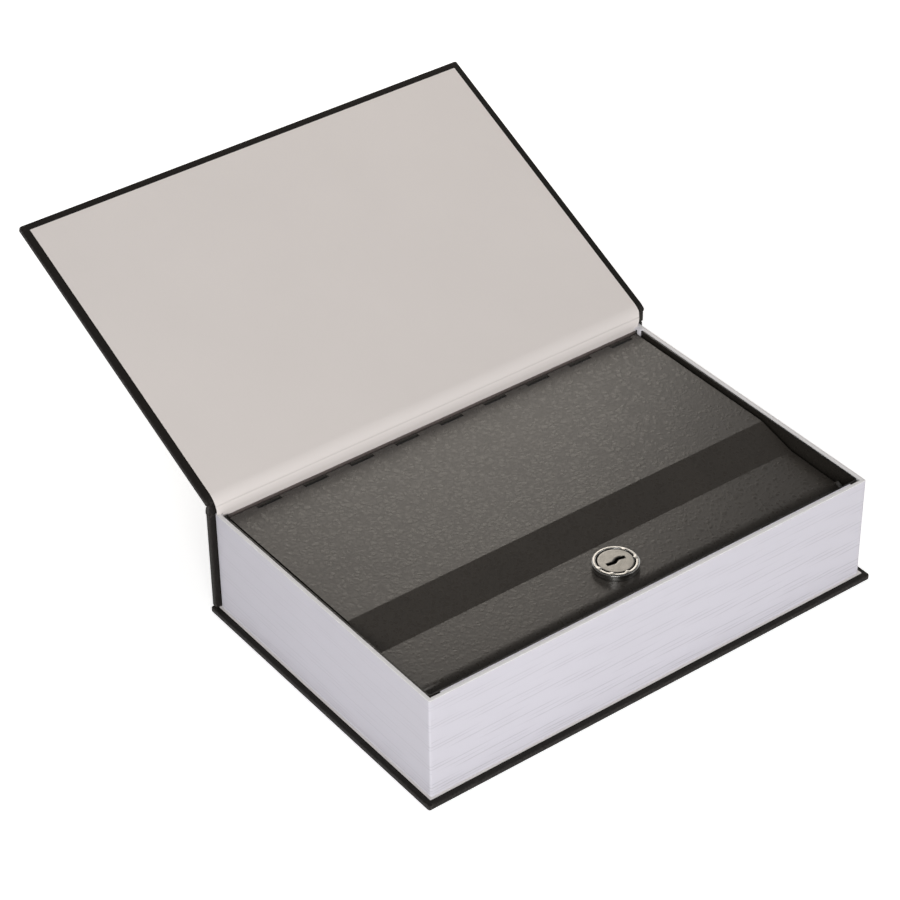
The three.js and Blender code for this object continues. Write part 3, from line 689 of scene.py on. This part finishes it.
def linerSheet(shape, board):
    path, run, corner = linerPath(shape, board)
    bend = run[np.linalg.norm(path - corner, axis=1).argmin()] - shape["creaseDrop"]
    crease = shape["creaseDepth"] * np.exp(-((run - bend) / shape["creaseWidth"]) ** 2)
    seen = path + leftOf(path) * (shape["thickness"] - crease)[:, None]
    # the paper stands between the end walls, and widens above the block to its width on the cover
    halfWide = (paperHigh[0] - paperLow[0]) / 2
    halfSlim = rearHigh[0] - wallThick - shape["stripEnd"]
    above = path[:, 1] - blockTop
    share = np.clip((above - shape["cutFrom"]) / shape["cutOver"], 0, 1)
    rise = np.clip(above / shape["widens"], 0, 1)
    rightX = halfSlim + (shape["foldHalf"] - halfSlim) * share + (halfWide - shape["foldHalf"]) * rise
    leftX = halfSlim + (halfWide - halfSlim) * share
    leftX, rightX, length = (np.concatenate([side, side[::-1]]) for side in (leftX, rightX, run))
    across = np.linspace(-1, 1, 81)[:, None]
    x = across * np.where(across < 0, leftX, rightX)
    points = together(x, *np.concatenate([seen, path[::-1]]).T)
    # painted shade follows the crease's depth
    creased = np.concatenate([crease, 0 * crease]) / shape["creaseDepth"] + 0 * x
    # painted highlight along the bend, fading over its reach
    bent = np.clip(1 - np.abs(length - bend) / shape["bentReach"], 0, 1) + 0 * x
    piece = makePiece("linerSheet", points, linerPaper,
                      {"flatPlace": together(x, length, 0), "creased": creased, "bent": bent})
    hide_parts("gutter_strip", "front_endpaper")
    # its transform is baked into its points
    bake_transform(piece)
    return path


linerRun = linerSheet(linerShape, boardShape)


# Covering over the joint: from the spine's back edge up to the cover's heel, its ends folded in

jointShape = {
    "lap": 0.9 * mm,        # down over the spine board
    "climb": 2.6 * mm,      # the curve sets out towards this height above the block
    "arrive": (1.5, -0.7), "end": (0.1, -0.12),   # mm from the heel: where it comes from, and ends
    "heelBack": 0.25 * mm, "heelOver": 0.06 * mm, "heelDrops": (0.75 * mm, 1.3 * mm),
    "innerGap": 0.06 * mm, "sink": 0.03 * mm, "clear": 0.05 * mm,
    "foot": (1.2 * mm, 0.6 * mm), "rubReach": 2 * mm, "stations": 61,
}


def jointSleeve(shape):
    # outer side on a cubic curve, then round the heel and down behind the endpaper: one closed outline
    outerHeel = thrownBack(coverHeel - shape["heelBack"], coverOuter)
    backY = spineHigh[1]
    t = np.linspace(0, 1, 21)[:, None]
    p0, p1 = np.array([backY, blockTop - shape["lap"]]), np.array([backY, blockTop + shape["climb"]])
    p2, p3 = (outerHeel + np.array(shape[key]) * mm for key in ("arrive", "end"))
    outer = (1 - t) ** 3 * p0 + 3 * (1 - t) ** 2 * t * p1 + 3 * (1 - t) * t ** 2 * p2 + t ** 3 * p3
    drops = np.array([coverOuter - shape["heelDrops"][0], coverInner + shape["heelDrops"][1]])
    heel = thrownBack(coverHeel + shape["heelOver"], drops)
    behind = (linerRun - leftOf(linerRun) * shape["innerGap"])[::-1]
    behind = behind[(behind[:, 1] > blockTop + shape["clear"]) & (behind[:, 1] < heel[1, 1])]
    inner = together(np.maximum(behind[:, 0], rearHigh[1] - shape["sink"]), behind[:, 1])
    foot = [[backY - shape["foot"][0], blockTop + shape["sink"]], [backY - shape["foot"][1], p0[1]]]
    outline = np.concatenate([outer, heel, inner, foot])
    grid = runAlongX(outline, np.linspace(spineLow[0], spineHigh[0], shape["stations"]))
    rubbed = np.clip(1 - (spineHigh[0] - np.abs(grid[..., 0])) / shape["rubReach"], 0, 1) * 0.4
    piece = makePiece("jointSleeve", grid, bookCloth, {"flatPlace": grid, "rubbed": rubbed}, 35)
    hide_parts("joint_cloth")
    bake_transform(piece)


jointSleeve(jointShape)
print("endpaper and joint made")


# Page block: one strip of white board folded round the box, with page lines pressed in

pageShape = {
    "pitch": 1.95 * mm, "waver": 0.2 * mm, "depth": 0.08 * mm, "grooveWidth": 0.2 * mm,
    "across": (-0.5, -0.28, -0.14, -0.05, 0.05, 0.14, 0.28),   # rows of each line, in pitches
    "cornerRadius": 0.9 * mm, "topRadius": 0.3 * mm, "plainTop": 2.2 * mm, "plainFoot": 2.6 * mm,
    "foldLine": 0.42 * mm, "footLine": 1.35 * mm,   # below the top edge, and above the back cover
    "footLevel": 0.9, "foldLevel": 0.8,             # how dark these two are
    "lowest": 1.8 * mm, "highest": 0.9 * mm,        # the lines stay within these
    "sideStrength": 0.45, "highFade": 0.6,
    "lineStep": 2.399,      # phases differ from line to line by the golden angle
    # each wave has a length along the wall, a factor for the phase, and a strength
    "waves": ((31 * mm, 1, 1), (13.4 * mm, 1.7, 0.7), (6.1 * mm, 2.3, 0.45)),
    "breaks": ((9.3 * mm, 3.1, 1), (22.1 * mm, 1.3, 0.8)),
}


def pageBlock(shape):
    # height and inset of each wall point; a line's height wavers along the wall as a sum of sines
    half = np.array([foreHigh[0], (rearHigh[1] - foreLow[1]) / 2])
    middleY = (rearHigh[1] + foreLow[1]) / 2
    r, t = shape["cornerRadius"], shape["topRadius"]
    stations = outlineStations(130, 86, 5)
    around = carryRound(0, 0, half, middleY, r, stations)[:, :2]
    run = runOf(around)
    foot, top = foreLow[2], blockTop
    lines = np.arange(foot + shape["plainFoot"], top - shape["plainTop"], shape["pitch"])[:, None, None]
    offsets = (np.array(shape["across"]) * shape["pitch"])[:, None]
    phase = np.arange(len(lines))[:, None, None] * shape["lineStep"]

    def sines(waves):
        return sum(strength * np.sin(run / length + factor * phase) for length, factor, strength in waves)

    line = lines + shape["waver"] * sines(shape["waves"]) + 0.22 * shape["pitch"] * np.sin(5.1 * phase)
    # lines come and go along the wall, plainest low on the fore edge and fainter on the other sides
    low = 1 - shape["highFade"] * (lines - foot) / (top - foot)
    side = np.where(np.abs(around[:, 1] - foreLow[1]) < 1 * mm, 1.0, shape["sideStrength"])
    strength = np.clip(sines(shape["breaks"]) + 0.3, 0, 1) * low * side
    mark = (np.exp(-(offsets / shape["grooveWidth"]) ** 2) * strength).reshape(-1, len(run))
    height = np.maximum.accumulate((line + offsets).reshape(-1, len(run)), axis=0)
    height = np.clip(height, foot + shape["lowest"], top - shape["highest"])
    wall = carryRound(shape["depth"] * mark, height, half, middleY, r, stations)
    # the fold under the top edge and the seam above the back cover are shallow grooves all round
    seam, fold = foot + shape["footLine"], top - shape["foldLine"]
    base = np.array([[0, foot], [0, seam - 0.2 * mm], [0.1 * mm, seam], [0, seam + 0.2 * mm]])
    crown = np.concatenate([
        [[0, top - 0.8 * mm], [0, fold - 0.12 * mm], [0.05 * mm, fold], [0, fold + 0.1 * mm]],
        arc((t, top - t), t, 180, 90, 4), arc((wallThick - t, top - t), t, 90, 0, 4),
        [[wallThick, foot], [0, foot]]])
    lower, upper = (carryRound(*part.T[:, :, None], half, middleY, r, stations) for part in (base, crown))
    grid = np.concatenate([lower, wall, upper])
    above = len(lower) + len(mark)
    level, crowned = np.zeros(grid.shape[:2]), np.zeros(grid.shape[:2])
    level[2] = shape["footLevel"]
    level[len(lower):above] = mark
    level[above + 2] = shape["foldLevel"]
    crowned[above + 4:-2] = 1
    piece = makePiece("pageBlockFolded", grid, pageBoard, {"pageLine": level, "crown": crowned}, 50)
    finishPiece(piece, "book", "page_board", "fore_edge_wall", "spine_side_wall", "head_wall", "tail_wall")


def foldedFlap():
    # thin board with a round top edge, glued inside the fore edge
    t, middle = (flapHigh[1] - flapLow[1]) / 2, (flapHigh[1] + flapLow[1]) / 2
    section = np.concatenate([arc((middle, flapHigh[2] - t), t, 0, 180, 8),
                              [[flapLow[1], flapLow[2]], [flapHigh[1], flapLow[2]]]])
    grid = runAlongX(section, np.linspace(flapLow[0], flapHigh[0], 41))
    finishPiece(makePiece("foldedFlap", grid, pageBoard, None, 50), "book", "page_board", "fore_edge_flap")


tabShape = {   # millimetres
    "section": ((70.6, 46), (70.6, 53.6), (70.75, 53.78), (74.2, 53.78), (74.2, 46)),
    "stations": (112.4, 112.55, 114.2, 114.6), "crown": 0.35,
}


def cornerTab(shape):
    # the board's glued end turns in over the box at its right rear corner
    grid = runAlongX(np.array(shape["section"]) * mm, np.array(shape["stations"]) * mm)
    piece = makePiece("cornerTab", grid, pageBoard, {"crown": np.full(grid.shape[:2], shape["crown"])})
    finishPiece(piece, "book", "page_board")


pageBlock(pageShape)
foldedFlap()
cornerTab(tabShape)
print("page block made")


# Lid: one pressed sheet with a step, rolled knuckles along the back and a bent-down front

lidShape = {
    "sheet": 0.7 * mm, "slopeBend": 2.5 * mm, "deckDrop": 5 * mm,
    "slopeRearY": -14.175 * mm, "slopeFrontY": -33.375 * mm,
    "deckStart": 0.3 * mm, "flatRun": 5 * mm,     # before the curl, and after the slope
    "deckTilt": 0.014,        # the front deck falls a little towards the nose
    "nosePower": 2.2,         # its angle grows as this power of the length along it
    "noseGap": 0.15 * mm,     # behind it, to the patch round the lock
    "pitch": 24.25 * mm, "notch": 12.1 * mm, "firstNotch": -92.35 * mm, "notches": 9,
    "curlEnd": 250, "holeRadius": 8.2 * mm, "patch": 9.8 * mm, "patchSteps": 14,
    # beside the nose, this far before the pin, the ears stand out and are curled up a little
    "ear": 1.3 * mm, "earRise": 1.5 * mm, "earFront": 132.5 * mm, "earGap": 0.2 * mm,
    "earFade": 1.5 * mm, "earLow": 5 * mm, "earLowFade": 3 * mm,
    "edge": 0.12 * mm,
}


def lidSkin(shape):
    # the sheet's middle as a grid: rows follow the section from curl to flange, columns run along x
    half = shape["sheet"] / 2
    topZ = lidHigh[2] - half
    deckZ = topZ - shape["deckDrop"]
    frontY, tilt = shape["slopeFrontY"], shape["deckTilt"]
    curl = arc(lidAxis[1:], topZ - lidAxis[2], 90 - shape["curlEnd"], 90, 26)
    deckRear = lidAxis[1] - (lidHigh[2] - lidAxis[2]) - shape["deckStart"]
    deckRows = roundedPath([(deckRear, topZ), (shape["slopeRearY"], topZ), (frontY, deckZ),
                            (frontY - shape["flatRun"], deckZ)], [shape["slopeBend"]] * 2, 14)
    patch, steps = shape["patch"], shape["patchSteps"]
    flat = together(lockAxis[1] + np.linspace(patch, -patch, steps + 1), deckZ)
    # the nose bends slowly at first: steps along its growing angle, drawn out to its depth
    noseY, faceY = lockAxis[1] - patch - shape["noseGap"], lidLow[1] + half
    turn = np.radians(90 * np.linspace(0, 1, 21) ** shape["nosePower"])
    way = together(-np.cos(turn), -np.sin(turn))
    nose = np.concatenate([[[0, 0]], np.cumsum((way[1:] + way[:-1]) / 2, axis=0)])
    nose = (noseY, deckZ) + nose * (faceY - noseY) / nose[-1, 0]
    path = np.concatenate([curl, deckRows, flat, nose, [[faceY, lidLow[2]]]])
    path[:-1, 1] -= tilt * np.clip(frontY - path[:-1, 0], 0, None)
    firstDeck, firstFlat = len(curl), len(curl) + len(deckRows)
    lidHalf, outer = lidHigh[0] - shape["ear"], lidHigh[0] - shape["earGap"]
    starts = shape["firstNotch"] - shape["notch"] / 2 + np.arange(shape["notches"]) * shape["pitch"]
    cuts = together(starts, starts + shape["notch"])
    columns = np.concatenate([cuts.ravel(), [-outer, -lidHalf, lidHalf, outer],
                              np.linspace(-patch, patch, steps + 1)])
    columns = np.unique(np.round(columns, 7))
    grid = runAlongX(path, columns)
    earY = lidAxis[1] - shape["earFront"]
    lifted = np.clip((earY - path[:, 0]) / shape["earFade"], 0, 1)
    lifted *= np.clip((path[:, 1] - (deckZ + half - shape["earLow"])) / shape["earLowFade"], 0, 1)
    grid[..., 2] += shape["earRise"] * (np.abs(grid[..., 0]) > outer - 0.1 * mm) * lifted
    # faces are left out in the notches, beside the decks, and round the lock
    middleX = (columns[1:] + columns[:-1])[:, None] / 2
    row = np.arange(len(path) - 1)
    inNotch = ((middleX > cuts[:, 0]) & (middleX < cuts[:, 1])).any(axis=1)[:, None] & (row < firstDeck)
    beside = (np.abs(middleX) > lidHalf) & (row < np.argmax(path[:, 0] < earY))
    hole = (np.abs(middleX) < patch) & (row >= firstFlat) & (row < firstFlat + steps)
    # round the lock the square opening runs in to the round hole, point by point
    side = np.linspace(-1, 1, steps + 1)[:-1]
    square = np.concatenate([together(side, -1), together(1, side), together(-side, 1), together(-1, -side)])
    circle = square / np.linalg.norm(square, axis=1)[:, None]
    share = np.linspace(0, 1, 5)[:, None, None]
    x, y = np.moveaxis((1 - share) * square * patch + share * circle * shape["holeRadius"], -1, 0)
    y = y + lockAxis[1]
    ring = together(x, y, deckZ - tilt * (frontY - y))
    piece = makePiece("lidSkin", [(grid, False, ~(inNotch | beside | hole)), (ring, True, None)], lidCoat,
                      sharpAngle=45, fillEnds=False)
    solid = piece.modifiers.new("sheet", "SOLIDIFY")
    solid.thickness = shape["sheet"]
    solid.offset = 0
    solid.use_quality_normals = True
    bevel = piece.modifiers.new("edges", "BEVEL")
    bevel.width = shape["edge"]
    bevel.segments = 2
    bevel.limit_method = "ANGLE"
    bevel.angle_limit = math.radians(60)
    bevel.harden_normals = True   # keeps the flat decks flat in reflections
    finishPiece(piece, "lid", "powder_coat", "lid_panel")


rimShape = {
    "foot": 46 * mm, "top": 52.1 * mm, "middleY": 73.55 * mm, "half": 0.19 * mm, "halfLength": 113.1 * mm,
}


def rearRim(shape):
    # the box's rear wall, its rim standing between the knuckles and the endpaper, in a lighter copy of the
    # coat as painted light
    middle, half = shape["middleY"], shape["half"]
    section = np.concatenate([[[middle + half, shape["foot"]]], arc((middle, shape["top"]), half, 0, 180, 6),
                              [[middle - half, shape["foot"]]]])
    grid = runAlongX(section, np.linspace(-1, 1, 61) * shape["halfLength"])
    finishPiece(makePiece("rearRim", grid, rimCoat), "book", "powder_coat")


lidSkin(lidShape)
rearRim(rimShape)
print("lid made")


# Lock: turned housing with a threaded barrel, and a pressed cap over the plug's face

lockShape = {
    "around": 168,                # points round the axis
    "bevel": 0.4 * mm, "faceGap": 0.52 * mm, "recess": 2.1 * mm, "bore": 6.15 * mm,
    "footDrop": 0.4 * mm, "footEdge": 0.15 * mm,   # the head goes this far into the deck; its lower edge
    "waferRoom": 0.58 * mm,       # the bore is wider below the head, where the wafers slide
    # a shallow groove round the head: where its sides start and end, in mm above the deck
    "groove": (1.15, 1.2, 1.3, 1.35), "grooveDepth": 0.1 * mm,
    "barrelRadius": 8 * mm, "barrelFlats": 14 * mm, "threadPitch": 1.0 * mm, "threadDepth": 0.3 * mm,
    "endTaper": 0.25 * mm, "endReach": 0.8 * mm,   # at the barrel's foot
    "stakes": (27.5, -20.5, -95.5, -139.5, 177.5), "stakeWidth": 6.5,   # degrees
    "stakeDepth": 0.8 * mm, "stakeRise": 0.12 * mm,
    "stakeBelow": 0.2 * mm, "stakeReach": 0.25 * mm,   # how far under the rim, and how wide
    "keyLength": 10.6 * mm, "keyWidth": 2.1 * mm, "keyOffset": 0.85 * mm, "keyAngle": -8,   # degrees
    "keyEdge": 0.04 * mm, "capDepth": 0.5 * mm, "capLift": 0.04 * mm, "capGap": 0.18 * mm,
    "keyLip": 0.06 * mm, "flatRim": 0.9 * mm,
    "capShares": (0.02, 0.1, 0.3, 0.55, 0.8, 1.0),   # rings from the slot to the flat's rim
    "capEdge": ((0.4, 0.0), (0.2, -0.01), (0.08, -0.05), (0.0, -0.14), (0.0, -0.5)),   # mm in, and up
}


def lockHousing(shape):
    # a profile of (radius, z) turned about the lock's axis; the barrel's radius is cut by two flats
    head = (lockHigh[0] - lockLow[0]) / 2
    top, deck, foot = lockHigh[2], lidHigh[2] - lidShape["deckDrop"], lockLow[2]
    recess = (plugHigh[0] - plugLow[0]) / 2 + shape["faceGap"]
    bevel, edge, bore = (shape[key] for key in ("bevel", "footEdge", "bore"))
    below, floor, room = deck - shape["footDrop"], top - shape["recess"], bore + shape["waferRoom"]
    groove = together(head - np.array([0, 1, 1, 0]) * shape["grooveDepth"],
                      deck + np.array(shape["groove"]) * mm)
    outer = np.concatenate([
        [[head - edge, below], [head - edge, deck]], arc((head - edge, deck + edge), edge, -90, 0, 3),
        groove, [[head, top - bevel - 0.1 * mm]],
        arc((head - 0.2 * mm, top - bevel), 0.2 * mm, 0, 45, 3),
        arc((head - bevel - 0.25 * mm, top - 0.3 * mm), 0.3 * mm, 45, 90, 4),
        arc((recess + 0.2 * mm, top - 0.2 * mm), 0.2 * mm, 90, 180, 4),
        [[recess, top - 0.5 * mm], [recess, floor], [bore, floor], [bore, below],
         [room, below], [room, foot]]])
    angle = np.linspace(0, 2 * math.pi, shape["around"] + 1)[:-1]
    # small stakes press the rim's inner edge in towards the face
    apart = (np.degrees(angle[:, None]) - np.array(shape["stakes"]) + 180) % 360 - 180
    stake = np.exp(-(apart / shape["stakeWidth"]) ** 4).sum(axis=1)
    nearRim = np.exp(-((outer[:, 1] - (top - shape["stakeBelow"])) / shape["stakeReach"]) ** 2)
    nearRim = (nearRim * (np.abs(outer[:, 0] - recess) < shape["stakeReach"]))[:, None]
    headRadius = outer[:, :1] - shape["stakeDepth"] * nearRim * stake
    headZ = outer[:, 1:] + shape["stakeRise"] * nearRim * stake
    # the thread is a zig-zag in the barrel's radius that climbs one pitch a turn, and fades at the foot
    levels = np.linspace(foot, deck, 101)[:, None]
    thread = np.abs(((levels / shape["threadPitch"] - angle / (2 * math.pi)) % 1) - 0.5) * 2
    ends = np.clip((levels - foot) / shape["endReach"], 0, 1)
    barrel = shape["barrelRadius"] - shape["threadDepth"] * thread * ends - shape["endTaper"] * (1 - ends)
    barrel = np.minimum(barrel, shape["barrelFlats"] / 2 / np.maximum(np.abs(np.sin(angle)), 1e-3))
    barrelRows, headRows = (together(radius * np.cos(angle), lockAxis[1] + radius * np.sin(angle), z)
                            for radius, z in ((barrel, levels), (headRadius, headZ)))
    grid = np.concatenate([headRows[-1:], barrelRows, headRows])
    sunk = np.zeros(grid.shape[:2])
    sunk[-7:] = 1          # painted shade in the well round the plug's face, and the bore
    piece = makePiece("lockHousing", grid, brightChrome, {"sunk": sunk}, 35)
    finishPiece(piece, "lid", "chrome_plate", "lock_housing")


def keywayOutline(shape):
    # the zig-zag slot's outline, its points spread evenly along it
    end, mid = shape["keyLength"] / 2 - shape["keyWidth"] / 4, shape["keyLength"] / 8
    offset = shape["keyOffset"]
    path = roundedPath([(-end, -offset / 2), (-mid, -offset), (mid, offset), (end, offset / 2)],
                       [shape["keyWidth"]] * 2, 4)
    side = leftOf(path) * (shape["keyWidth"] / 2 - shape["keyEdge"])
    ring = np.concatenate([path + side, (path - side)[::-1]])
    ring = turned(*np.concatenate([ring, ring[:1]]).T, math.radians(shape["keyAngle"]))
    return pointsAt(np.linspace(0, runOf(ring)[-1], shape["around"] + 1)[:-1], ring)


def lockCap(shape):
    # a thin cap on the plug: rings run from the slot's outline to the round rim and down over the edge
    top = plugHigh[2] + shape["capLift"]
    rim = (plugHigh[0] - plugLow[0]) / 2 - shape["capGap"]
    slot = keywayOutline(shape)
    bearing = np.unwrap(np.arctan2(slot[:, 1], slot[:, 0]))
    turn = np.sign(bearing[-1] - bearing[0]) * np.linspace(0, 2 * math.pi, shape["around"] + 1)[:-1]
    circle = together(np.cos(bearing[0] + turn), np.sin(bearing[0] + turn))
    rings = [(slot, top - shape["capDepth"]), (slot, top - shape["keyLip"])]
    rings += [((1 - share) * slot + share * circle * (rim - shape["flatRim"]), top)
              for share in shape["capShares"]]
    rings += [(circle * (rim - inset * mm), top + rise * mm) for inset, rise in shape["capEdge"]]
    grid = np.stack([together(*ring.T, level) for ring, level in rings])
    grid[..., 1] += lockAxis[1]
    sunk = np.zeros(grid.shape[:2])
    sunk[0], sunk[-2:] = 1, 1      # painted shade inside the slot and down the side
    piece = makePiece("lockFaceCap", grid, satinChrome, {"sunk": sunk}, fillEnds=False)
    finishPiece(piece, "plug", "chrome_plate")


lockHousing(lockShape)
lockCap(lockShape)
print("lock made")


# Finishes of the model's own nodes

nodeFinishes = (
    (endPaper, "back_endpaper"),
    (boxCoat, "box_body", "front_ledge"),
    (pinSteel, "hinge_pin"),
    (plugSteel, "lock_plug"),
    (zincSteel, "lock_washer", "lock_nut", "lock_cam", "cam_washer", "cam_screw"),
    (stampedBrass, "wafer_1", "wafer_2", "wafer_3", "wafer_4"),
    (foamTape, "tape_left", "tape_right"),
)

for finish, *nodes in nodeFinishes:
    for node in nodes:
        data = frame["nodes"][node].data
        if not data.materials:
            data.materials.append(finish)
        for index in range(len(data.materials)):
            data.materials[index] = finish
print("finishes set")
